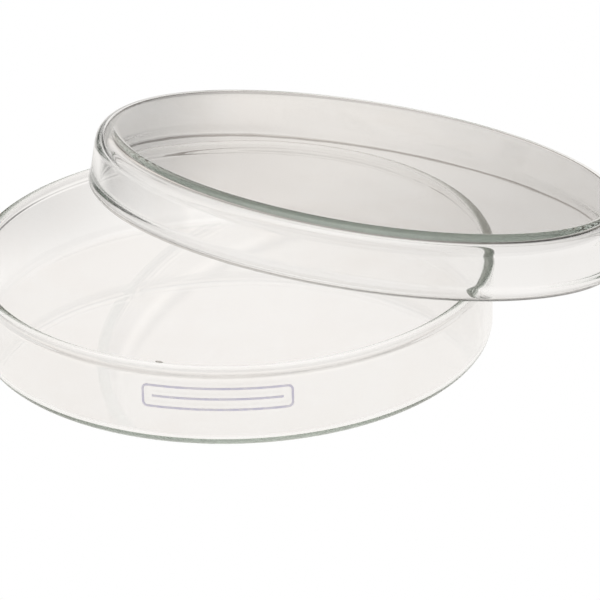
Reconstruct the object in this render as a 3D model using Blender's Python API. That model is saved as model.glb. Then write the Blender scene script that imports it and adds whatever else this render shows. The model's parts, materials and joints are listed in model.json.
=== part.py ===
"""Petri dish in clear glass: a shallow round dish and the wider lid that covers it.

The dish stands open on the bench. The lid, closed side up, is pushed off centre, so that its rim leans on
the dish's rim and its far edge stands on the bench.

Metres, +Z up. The origin is the centre of the dish's underside, at bench height. +X points from the
dish's axis to the lid's, and the XZ plane is the plane of symmetry of the pair.
"""

import math

import bpy
from mathutils import Matrix, Vector

MM = 0.001

# Driving dimensions. Both radii are taken on the outside of the rim, the widest place.
DISH_RADIUS = 47.0 * MM
DISH_HEIGHT = 15.7 * MM
LID_RADIUS = 50.0 * MM
LID_HEIGHT = 11.5 * MM
DISH_GLASS = 1.5 * MM  # thickness of the dish's wall and plate
LID_GLASS = 1.8 * MM  # the lid is pressed a little thicker
LID_SHIFT = 32.1 * MM  # how far the lid stands off the dish's axis
CLEARANCE = 0.3 * MM  # left between the two rims, which touch on the real dish

# Corners between a wall and its plate, outside and inside
DISH_CORNERS = (2.8 * MM, 1.0 * MM)
LID_CORNERS = (3.7 * MM, 1.6 * MM)

# The fire-polished rim is a slight bead, a little thicker than the wall and fully rounded on top
BEAD_OUT = 0.2 * MM
BEAD_IN = 0.3 * MM
BEAD_HEIGHT = 1.6 * MM  # the stretch of wall over which the bead swells

# Facets
TURN_STEPS = 96
CORNER_STEPS = 4
BEAD_STEPS = 3
RIM_STEPS = 6

LEAST_TILT, MOST_TILT = math.radians(8), math.radians(20)


def arc(centre_r, centre_z, radius, start, end, steps):
    """Points (r, z) on a round stretch of an outline, from one angle in degrees to another."""
    angles = [math.radians(start + (end - start) * i / steps) for i in range(steps + 1)]
    return [(centre_r + radius * math.cos(a), centre_z + radius * math.sin(a)) for a in angles]


def swell(wall_r, bulge, top_z):
    """Points (r, z) going up a wall's surface as it eases out by the bulge, ending just below top_z."""
    points = []
    for i in range(BEAD_STEPS):
        share = i / BEAD_STEPS
        ease = share * share * (3 - 2 * share)
        points.append((wall_r + bulge * ease, top_z - BEAD_HEIGHT * (1 - share)))
    return points


def rim_round(glass):
    """Radius of the rounded edge that a wall of this thickness ends in."""
    return (glass + BEAD_OUT + BEAD_IN) / 2


def cup_outline(radius, height, glass, corners):
    """Half section (r, z) of a flat cup, open side up: inner floor, inner wall, rim, outer wall, underside."""
    outer_corner, inner_corner = corners
    outer_wall = radius - BEAD_OUT
    inner_wall = outer_wall - glass
    edge = rim_round(glass)
    rim_z = height - edge

    floor = [(0, glass)]
    inside = arc(inner_wall - inner_corner, glass + inner_corner, inner_corner, -90, 0, CORNER_STEPS)
    inner_bead = swell(inner_wall, -BEAD_IN, rim_z)
    rim = arc(radius - edge, rim_z, edge, 180, 0, RIM_STEPS)
    outer_bead = swell(outer_wall, BEAD_OUT, rim_z)[::-1]
    outside = arc(outer_wall - outer_corner, outer_corner, outer_corner, 0, -90, CORNER_STEPS)
    underside = [(0, 0)]
    return floor + inside + inner_bead + rim + outer_bead + outside + underside


def turn(name, outline, material):
    """A solid of revolution about its own Z axis, from a half section that runs down its outer side."""
    mesh = bpy.data.meshes.new(name)
    edges = [(i, i + 1) for i in range(len(outline) - 1)]
    mesh.from_pydata([(r, 0, z) for r, z in outline], edges, [])
    mesh.materials.append(material)
    piece = bpy.data.objects.new(name, mesh)
    bpy.context.scene.collection.objects.link(piece)

    screw = piece.modifiers.new("Turn", "SCREW")
    screw.steps = TURN_STEPS
    screw.render_steps = TURN_STEPS
    screw.use_merge_vertices = True
    screw.merge_threshold = 0.00001
    screw.use_smooth_shade = True
    return piece


def clear_glass(name, colour):
    """Clear glass, with a faint tint."""
    material = bpy.data.materials.new(name)
    material.use_nodes = True
    shader = material.node_tree.nodes["Principled BSDF"]
    shader.inputs["Base Color"].default_value = (*colour, 1)
    shader.inputs["Metallic"].default_value = 0
    shader.inputs["Roughness"].default_value = 0.02
    shader.inputs["IOR"].default_value = 1.52
    shader.inputs["Transmission Weight"].default_value = 1
    return material


def lid_ring_centre(tilt):
    """Centre of the lid's rim ring when the lid is tilted and its far edge stands on the bench."""
    edge = rim_round(LID_GLASS)
    return Vector((LID_SHIFT, 0, (LID_RADIUS - edge) * math.sin(tilt) + edge))


def rim_distance(tilt, samples=720):
    """Least distance between the centre lines of the two rims' rounded edges, at this tilt."""
    lid_ring = LID_RADIUS - rim_round(LID_GLASS)
    dish_ring = DISH_RADIUS - rim_round(DISH_GLASS)
    dish_top = DISH_HEIGHT - rim_round(DISH_GLASS)
    centre = lid_ring_centre(tilt)
    least = math.inf
    for i in range(samples):
        angle = 2 * math.pi * i / samples
        x = centre.x + lid_ring * math.cos(angle) * math.cos(tilt)
        y = lid_ring * math.sin(angle)
        z = centre.z - lid_ring * math.cos(angle) * math.sin(tilt)
        off_ring = math.hypot(x, y) - dish_ring
        least = min(least, math.hypot(off_ring, z - dish_top))
    return least


def leaning_tilt():
    """The tilt at which the two rims just keep their clearance, found by halving the range."""
    low, high = LEAST_TILT, MOST_TILT
    apart = rim_round(DISH_GLASS) + rim_round(LID_GLASS) + CLEARANCE
    for _ in range(40):
        middle = (low + high) / 2
        if rim_distance(middle) < apart:
            low = middle
        else:
            high = middle
    return high


def lean_lid(lid):
    """Turn the lid closed side up, tilt it and stand it against the dish, on an empty at its rim's centre."""
    tilt = leaning_tilt()
    holder = bpy.data.objects.new("lid_rim_centre", None)
    bpy.context.scene.collection.objects.link(holder)
    holder.location = lid_ring_centre(tilt)
    holder.rotation_euler = (0, tilt, 0)

    lid.parent = holder
    upside_down = Matrix.Rotation(math.pi, 4, "Y")
    lid.matrix_local = Matrix.Translation((0, 0, LID_HEIGHT - rim_round(LID_GLASS))) @ upside_down


def build():
    for old in list(bpy.data.objects):
        bpy.data.objects.remove(old)

    dish_outline = cup_outline(DISH_RADIUS, DISH_HEIGHT, DISH_GLASS, DISH_CORNERS)
    lid_outline = cup_outline(LID_RADIUS, LID_HEIGHT, LID_GLASS, LID_CORNERS)
    turn("dish_base", dish_outline, clear_glass("dish_glass", (0.93, 0.95, 0.93)))
    lid = turn("dish_lid", lid_outline, clear_glass("lid_glass", (0.90, 0.92, 0.90)))
    lean_lid(lid)
    bpy.context.view_layer.update()


build()
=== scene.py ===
"""Petri dish in clear glass, with its lid leaning open on it: the look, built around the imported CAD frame.

The dish and the lid are turned again from the same sections as the CAD, with finer steps, rings that keep
the plates flat, and the slight unevenness of moulded glass on their inner faces. A blank printed field and
a small fleck of dirt on the rim are added to the dish. Lengths are in metres, in the CAD's own frame.
"""

import json
import math

import bmesh
import bpy
from mathutils import Matrix, Vector


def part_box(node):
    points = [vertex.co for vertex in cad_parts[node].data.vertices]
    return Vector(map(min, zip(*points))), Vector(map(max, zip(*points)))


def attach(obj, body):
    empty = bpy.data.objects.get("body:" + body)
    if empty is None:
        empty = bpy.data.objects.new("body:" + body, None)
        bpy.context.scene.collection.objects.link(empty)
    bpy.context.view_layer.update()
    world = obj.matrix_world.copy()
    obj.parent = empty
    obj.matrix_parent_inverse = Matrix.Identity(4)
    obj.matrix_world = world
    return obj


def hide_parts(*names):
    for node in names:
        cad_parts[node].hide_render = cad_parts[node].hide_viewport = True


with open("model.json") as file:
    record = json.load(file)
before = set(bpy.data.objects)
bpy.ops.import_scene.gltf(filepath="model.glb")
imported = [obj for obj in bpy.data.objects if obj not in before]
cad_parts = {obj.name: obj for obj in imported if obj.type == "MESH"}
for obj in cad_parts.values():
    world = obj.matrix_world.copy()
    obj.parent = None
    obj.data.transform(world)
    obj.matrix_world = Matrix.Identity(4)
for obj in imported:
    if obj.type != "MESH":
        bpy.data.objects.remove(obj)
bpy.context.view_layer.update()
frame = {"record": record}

MM = 0.001

# ---------------------------------------------------------------- sizes, as in the CAD
dish_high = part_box("dish_base")[1]
lid_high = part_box("dish_lid")[1]
DISH_RADIUS = dish_high.x
DISH_HEIGHT = dish_high.z
LID_RADIUS = lid_high.y
LID_HEIGHT = 11.5 * MM
DISH_GLASS = 1.5 * MM  # thickness of the dish's wall and plate
LID_GLASS = 1.8 * MM
DISH_CORNERS = (2.8 * MM, 1.0 * MM)  # outside and inside radius between the wall and the plate
LID_CORNERS = (3.7 * MM, 1.6 * MM)
BEAD_OUT = 0.2 * MM  # the rim is a slight bead, this much proud of the wall outside
BEAD_IN = 0.3 * MM  # and this much inside
BEAD_HEIGHT = 1.6 * MM

# ---------------------------------------------------------------- facets
TURN_STEPS = 288
CORNER_STEPS = 16
BEAD_STEPS = 8
RIM_STEPS = 28
PLATE_STEPS = 8
WALL_STEPS = 4
GUARD = 0.12 * MM  # a ring this close to each bend keeps the flat faces flat under smooth shading


def arc(centre_r, centre_z, radius, start, end, steps):
    """Points (r, z) on a round stretch of an outline, from one angle in degrees to another."""
    angles = [math.radians(start + (end - start) * i / steps) for i in range(steps + 1)]
    return [(centre_r + radius * math.cos(a), centre_z + radius * math.sin(a)) for a in angles]


def swell(wall_r, bulge, top_z):
    """Points (r, z) going up a wall's surface as it eases out by the bulge, ending just below top_z."""
    points = []
    for i in range(BEAD_STEPS):
        share = i / BEAD_STEPS
        ease = share * share * (3 - 2 * share)
        points.append((wall_r + bulge * ease, top_z - BEAD_HEIGHT * (1 - share)))
    return points


def straight(start, end, steps):
    """Points between two ends of a straight stretch, with a guard ring close to each."""
    length = math.dist(start, end)
    guard = GUARD / length
    shares = [guard] + [i / steps for i in range(1, steps)] + [1 - guard]
    return [tuple(a + (b - a) * s for a, b in zip(start, end)) for s in shares]


def rim_round(glass):
    """Radius of the rounded edge that a wall of this thickness ends in."""
    return (glass + BEAD_OUT + BEAD_IN) / 2


def cup_section(radius, height, glass, corners):
    """Half section of a flat cup, open side up, as inside and outside points (r, z) from axis to rim."""
    outer_corner, inner_corner = corners
    outer_wall = radius - BEAD_OUT
    inner_wall = outer_wall - glass
    edge = rim_round(glass)
    rim_z = height - edge

    corner = arc(inner_wall - inner_corner, glass + inner_corner, inner_corner, -90, 0, CORNER_STEPS)
    bead = swell(inner_wall, -BEAD_IN, rim_z)
    inside = [(0, glass)] + straight((0, glass), corner[0], PLATE_STEPS) + corner
    inside += straight(corner[-1], bead[0], WALL_STEPS) + bead

    rim = arc(radius - edge, rim_z, edge, 180, 0, RIM_STEPS)
    bead = swell(outer_wall, BEAD_OUT, rim_z)[::-1]
    corner = arc(outer_wall - outer_corner, outer_corner, outer_corner, 0, -90, CORNER_STEPS)
    outside = rim + bead + straight(bead[-1], corner[0], WALL_STEPS) + corner
    outside += straight(corner[-1], (0, 0), PLATE_STEPS) + [(0, 0)]
    return inside, outside


# Unevenness of the inner faces. Each wave: how many times it goes around, how many radians it gains for each
# rim radius travelled along the section, its share of the size, and its phase.
WAVES = ((2, 2.0, 0.5, 0.7), (3, 3.2, 0.35, 2.1), (5, 5.4, 0.2, 4.4), (9, 8.2, 0.1, 1.3))
PLATE_WAVE = 0.010 * MM
WALL_WAVE = 0.030 * MM
WALL_START = 2 * MM  # height above the plate at which the wall's waves have their full size


def uneven(inside, turn, phase):
    """How far the inner face's points at this turn stand off the true section, as (r, z) offsets."""
    reach = inside[-1][0]
    floor_z = inside[0][1]
    offsets = []
    travelled = 0
    for i, (r, z) in enumerate(inside):
        before = inside[max(i - 1, 0)]
        after = inside[min(i + 1, len(inside) - 1)]
        travelled += math.dist(before, (r, z)) / reach
        along = Vector((after[0] - before[0], after[1] - before[1])).normalized()
        normal = Vector((-along.y, along.x))
        wave = sum(
            share * math.sin(n * turn + rate * travelled + at + phase) for n, rate, share, at in WAVES
        )
        fade = min(1, r / reach) ** 2
        rim_fade = min(1, (len(inside) - 1 - i) / BEAD_STEPS)
        size = PLATE_WAVE + (WALL_WAVE - PLATE_WAVE) * min(1, max(0, z - floor_z) / WALL_START)
        offsets.append(normal * (wave * fade * rim_fade * size))
    return offsets


def turned(name, section, material, phase):
    """A closed solid of revolution from a half section, about its own Z axis."""
    inside, outside = section
    outline = inside + outside
    verts = []
    for k in range(TURN_STEPS):
        turn = 2 * math.pi * k / TURN_STEPS
        offsets = uneven(inside, turn, phase)
        for i, (r, z) in enumerate(outline[1:-1], start=1):
            if i < len(inside):
                r, z = r + offsets[i].x, z + offsets[i].y
            verts.append((r * math.cos(turn), r * math.sin(turn), z))
    ring = len(outline) - 2
    first, last = len(verts), len(verts) + 1
    verts += [(0, 0, outline[0][1]), (0, 0, outline[-1][1])]

    faces = []
    for k in range(TURN_STEPS):
        here, there = k * ring, (k + 1) % TURN_STEPS * ring
        faces.append((first, here, there))
        for i in range(ring - 1):
            faces.append((here + i, here + i + 1, there + i + 1, there + i))
        faces.append((here + ring - 1, last, there + ring - 1))
    mesh = bpy.data.meshes.new(name)
    mesh.from_pydata(verts, [], faces)
    return new_piece(name, mesh, material, True)


def new_piece(name, mesh, material, smooth):
    """A mesh with one material, put into the scene as an object."""
    mesh.polygons.foreach_set("use_smooth", [smooth] * len(mesh.polygons))
    mesh.materials.append(material)
    mesh.update()
    piece = bpy.data.objects.new(name, mesh)
    bpy.context.scene.collection.objects.link(piece)
    return piece


# ---------------------------------------------------------------- materials
def node(tree, kind, **values):
    """A new shader node, with its inputs or properties set by name."""
    made = tree.nodes.new(kind)
    for key, value in values.items():
        if key in made.inputs:
            made.inputs[key].default_value = value
        else:
            setattr(made, key, value)
    return made


def ramp(tree, source, stops):
    """A colour ramp on a 0 to 1 value, with its stops as (value, colour)."""
    made = node(tree, "ShaderNodeValToRGB")
    elements = made.color_ramp.elements
    while len(elements) < len(stops):
        elements.new(1)
    for element, (position, colour) in zip(elements, stops):
        element.position = position
        element.color = (*colour, 1)
    tree.links.new(source, made.inputs["Fac"])
    return made.outputs["Color"]


def spread(tree, value, start, end, start_value, end_value, kind="LINEAR"):
    """A value that goes from start_value to end_value as another goes from start to end."""
    ends = {"From Min": start, "From Max": end, "To Min": start_value, "To Max": end_value}
    made = node(tree, "ShaderNodeMapRange", interpolation_type=kind, **ends)
    tree.links.new(value, made.inputs["Value"])
    return made.outputs["Result"]


def clear_glass(name, absorbed, streak):
    """Clear soda-lime glass. absorbed: red, green and blue lost per metre. streak: the tint of its cords."""
    material = bpy.data.materials.new(name)
    material.use_nodes = True
    tree = material.node_tree
    links = tree.links
    shader = tree.nodes["Principled BSDF"]
    shader.inputs["IOR"].default_value = 1.52
    shader.inputs["Transmission Weight"].default_value = 1
    place = node(tree, "ShaderNodeTexCoord").outputs["Object"]

    # Faint cords in the glass
    cords = node(tree, "ShaderNodeTexNoise", Scale=55, Detail=3, Roughness=0.55, Distortion=1.2)
    links.new(place, cords.inputs["Vector"])
    tint = ramp(tree, cords.outputs["Fac"], [(0.42, (1, 1, 1)), (0.72, streak)])
    links.new(tint, shader.inputs["Base Color"])

    # A wiped haze that is hardly there
    haze = node(tree, "ShaderNodeTexNoise", Scale=140, Detail=6, Roughness=0.7)
    links.new(place, haze.inputs["Vector"])
    links.new(spread(tree, haze.outputs["Fac"], 0.5, 0.8, 0, 0.02), shader.inputs["Roughness"])

    # The long soft ripple of moulded glass
    ripple = node(tree, "ShaderNodeTexNoise", Scale=70, Detail=1.5, Roughness=0.4)
    links.new(place, ripple.inputs["Vector"])
    bump = node(tree, "ShaderNodeBump", Strength=0.12, Distance=0.0001)
    links.new(ripple.outputs["Fac"], bump.inputs["Height"])
    links.new(bump.outputs["Normal"], shader.inputs["Normal"])

    # The most absorbed colour has a volume colour of 0.1
    density = max(absorbed) / 0.9
    volume = node(tree, "ShaderNodeVolumeAbsorption", Density=density)
    volume.inputs["Color"].default_value = (*(1 - a / density for a in absorbed), 1)
    links.new(volume.outputs["Volume"], tree.nodes["Material Output"].inputs["Volume"])
    return material


dish_glass = clear_glass("dish_glass", (7.1, 6, 7.0), (0.985, 0.978, 0.972))
lid_glass = clear_glass("lid_glass", (7.1, 6, 6.8), (0.982, 0.975, 0.968))

# ---------------------------------------------------------------- the dish and the lid
dish_section = cup_section(DISH_RADIUS, DISH_HEIGHT, DISH_GLASS, DISH_CORNERS)
dish = turned("dish_glassware", dish_section, dish_glass, 0.0)
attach(dish, "dish")
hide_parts("dish_base")

# The lid is turned open side up too, and then turned over onto the place of its flat top
lid_section = cup_section(LID_RADIUS, LID_HEIGHT, LID_GLASS, LID_CORNERS)
lid = turned("lid_glassware", lid_section, lid_glass, 2.3)
lid_top = next(m for m in frame["record"]["mounts"] if m["name"] == "lid_top")
lid_axis = Vector(lid_top["axis"]).normalized()
across = Vector((0, 1, 0))
lid_turn = Matrix((across.cross(-lid_axis), across, -lid_axis)).transposed().to_4x4()
lid.data.transform(Matrix.Translation(lid_top["pos_m"]) @ lid_turn)
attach(lid, "lid")
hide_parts("dish_lid")

# ---------------------------------------------------------------- the printed field and the fleck
MARK_RADIUS = DISH_RADIUS - BEAD_OUT  # it is printed on the outer wall
MARK_LEFT, MARK_RIGHT = math.radians(-153.8), math.radians(-121.9)
MARK_LOW, MARK_HIGH = 7.7 * MM, 11.7 * MM
MARK_CORNER = 0.8 * MM
MARK_STEPS = 40  # along each long line
MARK_CORNER_STEPS = 6
LINE_INSET = 1.6 * MM  # from each end of the frame to the line in it
STROKE = 0.42 * MM
ENAMEL_SUNK, ENAMEL_PROUD = 0.01 * MM, 0.04 * MM
FLECK_TURN = math.radians(-150.4)
FLECK_SIZE = (0.22 * MM, 0.66 * MM, 0.28 * MM)
FLECK_INWARD, FLECK_DOWN = 1.30, 0.06  # from the outside and the top of the rim, in rim radii


def enamel(name, pale, deep):
    """Thin matt print or dirt, a little uneven in colour and finish."""
    material = bpy.data.materials.new(name)
    material.use_nodes = True
    tree = material.node_tree
    shader = tree.nodes["Principled BSDF"]
    place = node(tree, "ShaderNodeTexCoord").outputs["Object"]
    wear = node(tree, "ShaderNodeTexNoise", Scale=900, Detail=4, Roughness=0.65)
    tree.links.new(place, wear.inputs["Vector"])
    tree.links.new(ramp(tree, wear.outputs["Fac"], [(0.35, deep), (0.65, pale)]), shader.inputs["Base Color"])
    tree.links.new(spread(tree, wear.outputs["Fac"], 0.3, 0.7, 0.45, 0.7), shader.inputs["Roughness"])
    return material


def field_outline():
    """Centre line of the field's rounded frame, as points (distance around the wall, height)."""
    c = MARK_CORNER
    left, right = MARK_LEFT * MARK_RADIUS + c, MARK_RIGHT * MARK_RADIUS - c
    points = []
    for x, z, start in ((right, MARK_HIGH - c, 90), (right, MARK_LOW + c, 0)):
        points += arc(x, z, c, start, start - 90, MARK_CORNER_STEPS)
    points += level_line(right, left, MARK_LOW)[1:-1]
    for x, z, start in ((left, MARK_LOW + c, 270), (left, MARK_HIGH - c, 180)):
        points += arc(x, z, c, start, start - 90, MARK_CORNER_STEPS)
    points += level_line(left, right, MARK_HIGH)[1:-1]
    return points


def level_line(start, end, z):
    """Points (distance around the wall, height) on a line at one height."""
    return [(start + (end - start) * i / MARK_STEPS, z) for i in range(MARK_STEPS + 1)]


def stroke(name, points, closed, material):
    """A thin solid line laid on the wall along points (distance around the wall, height)."""
    verts = []
    for i, (x, z) in enumerate(points):
        before = points[i - 1] if closed or i else points[0]
        after = points[(i + 1) % len(points)] if closed or i + 1 < len(points) else points[-1]
        along = Vector((after[0] - before[0], after[1] - before[1])).normalized() * (STROKE / 2)
        for side, radius in ((1, -ENAMEL_SUNK), (1, ENAMEL_PROUD), (-1, ENAMEL_PROUD), (-1, -ENAMEL_SUNK)):
            turn = (x - side * along.y) / MARK_RADIUS
            reach = MARK_RADIUS + radius
            verts.append((reach * math.cos(turn), reach * math.sin(turn), z + side * along.x))
    faces = []
    for i in range(len(points) if closed else len(points) - 1):
        here, there = 4 * i, 4 * ((i + 1) % len(points))
        faces += [(here + k, there + k, there + (k + 1) % 4, here + (k + 1) % 4) for k in range(4)]
    if not closed:
        last = len(verts) - 4
        faces += [(0, 1, 2, 3), (last + 3, last + 2, last + 1, last)]
    mesh = bpy.data.meshes.new(name)
    mesh.from_pydata(verts, [], faces)
    work = bmesh.new()
    work.from_mesh(mesh)
    bmesh.ops.recalc_face_normals(work, faces=work.faces)
    work.to_mesh(mesh)
    work.free()
    piece = new_piece(name, mesh, material, False)
    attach(piece, "dish")


def fleck(material):
    """A speck of dirt that sits on the inner side of the dish's rim."""
    work = bmesh.new()
    bmesh.ops.create_icosphere(work, subdivisions=3, radius=1)
    for vert in work.verts:
        lump = 1 + 0.12 * math.sin(5 * vert.co.x + 1) + 0.10 * math.sin(7 * vert.co.y)
        vert.co = Vector(size * c * lump for size, c in zip(FLECK_SIZE, vert.co))
    edge = rim_round(DISH_GLASS)
    reach = DISH_RADIUS - edge * FLECK_INWARD
    height = DISH_HEIGHT - edge * FLECK_DOWN
    spot = Matrix.Rotation(FLECK_TURN, 4, "Z") @ Matrix.Translation((reach, 0, height))
    bmesh.ops.transform(work, matrix=spot, verts=work.verts)
    mesh = bpy.data.meshes.new("rim_fleck")
    work.to_mesh(mesh)
    work.free()
    piece = new_piece("rim_fleck", mesh, material, True)
    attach(piece, "dish")


mark_blue = enamel("mark_blue", (0.92, 0.91, 0.99), (0.74, 0.73, 0.91))
fleck_dirt = enamel("fleck_dirt", (0.95, 0.94, 0.91), (0.84, 0.82, 0.79))
stroke("printed_frame", field_outline(), True, mark_blue)
line_left, line_right = MARK_LEFT * MARK_RADIUS + LINE_INSET, MARK_RIGHT * MARK_RADIUS - LINE_INSET
line = level_line(line_left, line_right, (MARK_LOW + MARK_HIGH) / 2)
stroke("printed_line", line, False, mark_blue)
fleck(fleck_dirt)

# ---------------------------------------------------------------- floor
# The floor and the surroundings light the scene. Both are plain white where they are seen directly.
FLOOR_REACH = 6.0
FLOOR_GAP = 0.2 * MM
WHITE = (1, 1, 1)

# In the glass the floor is painted warmer and a little darker, with painted soft shadows around the dish and
# two larger painted darker areas beyond it, all set into the floor's own light. Each shadow: its centre, how
# far out it is full, how far out it ends, and the share of the light that it takes.
FLOOR_IN_GLASS = (0.995, 0.972, 0.949)
SHADOWS = (
    (Vector((8, 76, 0)) * MM, 0, 42 * MM, 0.26),
    (Vector((51, 61, 0)) * MM, 0, 32 * MM, 0.17),
    (Vector((74, -14, 0)) * MM, 0, 70 * MM, 0.14),
    (Vector((-103, 386, 0)) * MM, 272 * MM, 308 * MM, 0.85),
    (Vector((148, 149, 0)) * MM, 60 * MM, 100 * MM, 0.42),
)


def shadowed(tree, colour):
    """The colour, darkened where the painted soft shadows lie."""
    place = node(tree, "ShaderNodeTexCoord").outputs["Object"]
    for centre, full, reach, taken in SHADOWS:
        gap = node(tree, "ShaderNodeVectorMath", operation="DISTANCE")
        gap.inputs[1].default_value = centre
        tree.links.new(place, gap.inputs[0])
        factor = spread(tree, gap.outputs["Value"], full, reach, 1 - taken, 1, "SMOOTHSTEP")
        colour = scaled(tree, colour, factor)
    return colour


def scaled(tree, colour, factor):
    """A colour, as three numbers or a socket, times a factor from a socket."""
    product = node(tree, "ShaderNodeVectorMath", operation="SCALE")
    if isinstance(colour, tuple):
        product.inputs[0].default_value = colour
    else:
        tree.links.new(colour, product.inputs[0])
    tree.links.new(factor, product.inputs["Scale"])
    return product.outputs["Vector"]


def seen_or_not(tree, direct, through):
    """One colour for what is seen directly, and another, from a socket, for what the glass shows."""
    mix = node(tree, "ShaderNodeMix", data_type="RGBA")
    colour_a, colour_b, result = mix.inputs[6], mix.inputs[7], mix.outputs[2]  # the sockets for colours
    tree.links.new(node(tree, "ShaderNodeLightPath").outputs["Is Camera Ray"], mix.inputs["Factor"])
    tree.links.new(through, colour_a)
    colour_b.default_value = (*direct, 1)
    return result


def make_floor():
    """A wide sheet just under the dish, which gives off the light that comes from below."""
    material = bpy.data.materials.new("floor_white")
    material.use_nodes = True
    tree = material.node_tree
    shader = tree.nodes["Principled BSDF"]
    shader.inputs["Base Color"].default_value = (0, 0, 0, 1)
    shader.inputs["Specular IOR Level"].default_value = 0
    shader.inputs["Emission Strength"].default_value = 1.0
    # The floor's light as the glass shows it, with its painted shade and painted shadows
    in_glass = shadowed(tree, FLOOR_IN_GLASS)
    tree.links.new(seen_or_not(tree, WHITE, in_glass), shader.inputs["Emission Color"])

    mesh = bpy.data.meshes.new("floor")
    s = FLOOR_REACH
    mesh.from_pydata([(-s, -s, 0), (s, -s, 0), (s, s, 0), (-s, s, 0)], [], [(0, 1, 2, 3)])
    floor = new_piece("floor", mesh, material, False)
    floor.location.z = -FLOOR_GAP


make_floor()

# ---------------------------------------------------------------- surroundings
UP = Vector((0, 0, 1))

# The colour that the glass shows of them, by the sine of the height above the horizon
SKY = (
    (0.0, (0.76, 0.71, 0.66)),
    (0.060, (0.72, 0.67, 0.62)),
    (0.085, (0.50, 0.45, 0.41)),
    (0.36, (1.00, 0.93, 0.87)),
    (0.50, (0.87, 0.80, 0.74)),
    (0.75, (0.60, 0.56, 0.52)),
    (0.90, (1.08, 1.07, 1.05)),
)

# Headings are taken clockwise from +Y, seen from above. Each stretch of the surroundings has the heading it
# lies towards, the cosines of the angles from it between which it comes in, and the light left there.
# A backdrop stands at +X +Y, and the light falls off to its sides, though not overhead.
BACKDROP_HEADING, BACKDROP_EDGE, BACKDROP_FULL, SIDE_LIGHT = math.radians(45), 0.85, 0.95, 0.4
OVERHEAD_EDGE, OVERHEAD_FULL = 0.6, 0.8  # the sines of the heights between which that ends
# Near the horizon it is darker from a soft upright edge at 48 degrees on towards +Y
LOW_HEADING, LOW_EDGE, LOW_FULL, LOW_LIGHT = math.radians(48.0 - 90), -0.012, 0.012, 0.2
# and dims more slowly from 51 degrees on towards +X
DIM_HEADING, DIM_EDGE, DIM_FULL, DIM_LIGHT = math.radians(51.0 + 90), -0.04, 0.05, 0.5
LOW_TOP, LOW_FADE = 0.12, 0.20  # the sines of the heights between which both end
# Above them a dark panel stands on the +X side
PANEL_HEADING, PANEL_EDGE, PANEL_FULL, PANEL_LIGHT = math.radians(76), 0.78, 0.92, 0.05


def level(heading):
    """The level direction with this heading."""
    return Vector((math.sin(heading), math.cos(heading), 0))


def stepped(tree, direction, towards, edge, full, edge_value, full_value):
    """A factor that eases between two values as a direction turns towards a given one."""
    dot = node(tree, "ShaderNodeVectorMath", operation="DOT_PRODUCT")
    dot.inputs[1].default_value = towards
    tree.links.new(direction, dot.inputs[0])
    return spread(tree, dot.outputs["Value"], edge, full, edge_value, full_value, "SMOOTHSTEP")


def larger(tree, a, b):
    """The larger of two values."""
    most = node(tree, "ShaderNodeMath", operation="MAXIMUM")
    tree.links.new(a, most.inputs[0])
    tree.links.new(b, most.inputs[1])
    return most.outputs[0]


def around(tree, direction, sky):
    """The sky's colour by height, made darker where the stretches above say."""
    backdrop = stepped(tree, direction, level(BACKDROP_HEADING), BACKDROP_EDGE, BACKDROP_FULL, SIDE_LIGHT, 1)
    overhead = stepped(tree, direction, UP, OVERHEAD_EDGE, OVERHEAD_FULL, 0, 1)
    low = stepped(tree, direction, level(LOW_HEADING), LOW_EDGE, LOW_FULL, 1, LOW_LIGHT)
    dim = stepped(tree, direction, level(DIM_HEADING), DIM_EDGE, DIM_FULL, 1, DIM_LIGHT)
    panel = stepped(tree, direction, level(PANEL_HEADING), PANEL_EDGE, PANEL_FULL, 1, PANEL_LIGHT)
    above = stepped(tree, direction, UP, LOW_TOP, LOW_FADE, 0, 1)
    below = stepped(tree, direction, UP, LOW_TOP, LOW_FADE, 1, 0)
    low, dim, panel = larger(tree, low, above), larger(tree, dim, above), larger(tree, panel, below)
    for factor in (larger(tree, backdrop, overhead), low, dim, panel):
        sky = scaled(tree, sky, factor)
    return sky


def make_world():
    """The surroundings, which give off the light that comes from above and from the sides."""
    world = bpy.data.worlds.new("studio")
    bpy.context.scene.world = world
    world.use_nodes = True
    tree = world.node_tree
    direction = node(tree, "ShaderNodeTexCoord").outputs["Generated"]
    split = node(tree, "ShaderNodeSeparateXYZ")
    tree.links.new(direction, split.inputs[0])
    sky = around(tree, direction, ramp(tree, split.outputs["Z"], SKY))
    tree.links.new(seen_or_not(tree, WHITE, sky), tree.nodes["Background"].inputs["Color"])


make_world()

# ---------------------------------------------------------------- camera
HEADING, DOWN, ROLL = math.radians(44.87), math.radians(25.82), math.radians(-0.97)
DISTANCE = 0.777
LENS = 259.4  # focal length in mm, on a 36 mm sensor
AIM = Vector((5.14, -11.84, 8.0)) * MM


def make_camera():
    """The camera, set back from the point it aims at."""
    forward = level(HEADING) * math.cos(DOWN) - UP * math.sin(DOWN)
    right = Vector((math.cos(HEADING), -math.sin(HEADING), 0))
    over = right.cross(forward)
    rolled_right = right * math.cos(ROLL) + over * math.sin(ROLL)
    rolled_over = over * math.cos(ROLL) - right * math.sin(ROLL)
    camera = bpy.data.objects.new("camera", bpy.data.cameras.new("camera"))
    camera.data.sensor_width = 36
    camera.data.lens = LENS
    camera.data.clip_end = 100
    axes = Matrix((rolled_right, rolled_over, -forward)).transposed().to_4x4()
    camera.matrix_world = Matrix.Translation(AIM - forward * DISTANCE) @ axes
    bpy.context.scene.collection.objects.link(camera)
    bpy.context.scene.camera = camera


make_camera()

scene = bpy.context.scene
scene.view_settings.view_transform = "Standard"
GLASS_BOUNCES = 128  # light runs a long way inside a corner of glass before it leaves
scene.cycles.max_bounces = GLASS_BOUNCES
scene.cycles.transmission_bounces = GLASS_BOUNCES
scene.cycles.glossy_bounces = GLASS_BOUNCES
